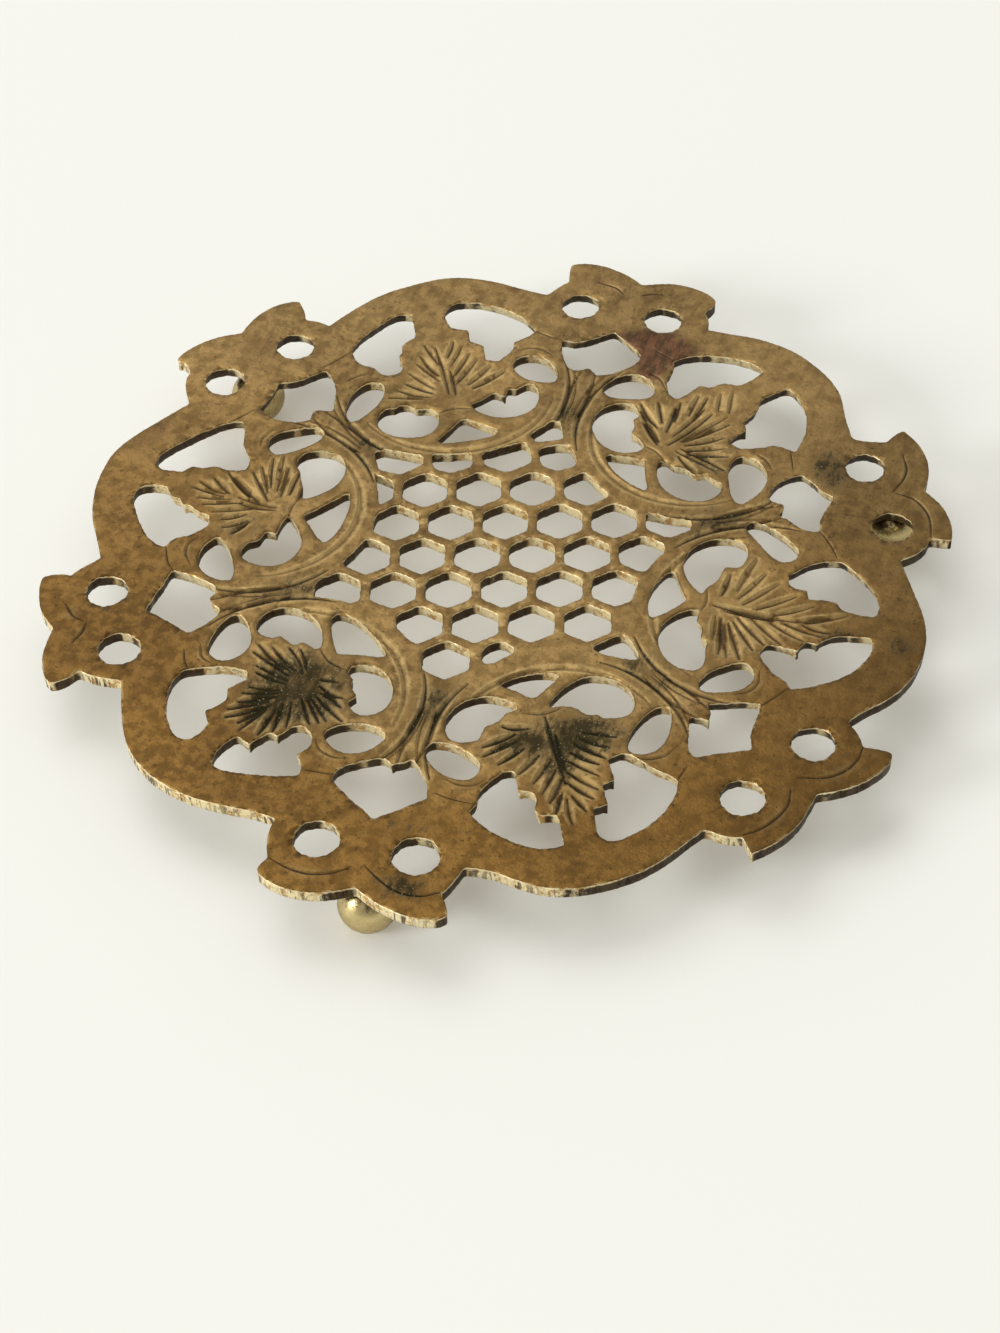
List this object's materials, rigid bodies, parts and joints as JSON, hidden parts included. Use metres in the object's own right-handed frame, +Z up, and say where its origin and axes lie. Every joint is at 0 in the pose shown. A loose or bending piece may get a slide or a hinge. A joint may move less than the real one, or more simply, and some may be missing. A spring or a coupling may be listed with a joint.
{
  "type": "brass trivet",
  "caption": "Round pierced brass trivet with leaf motifs, a honeycomb centre and petalled ears, standing on turned ball feet to hold a hot pot clear of the table.",
  "frame": {"origin": "on the table under the middle of the plate", "axes": "+Z up, away from the table; the front foot and its ear point to -Y"},
  "size_m": [0.1772, 0.1876, 0.014],
  "materials": {
    "chased_brass": "aged, brown patina on the face, bright on the sawn edges",
    "turned_brass": "satin, lightly tarnished"
  },
  "bodies": {
    "root": {"trivet_plate": "chased_brass", "ball_foot_front": "turned_brass", "ball_foot_rear_right": "turned_brass", "ball_foot_rear_left": "turned_brass"}
  },
  "joints": []
}
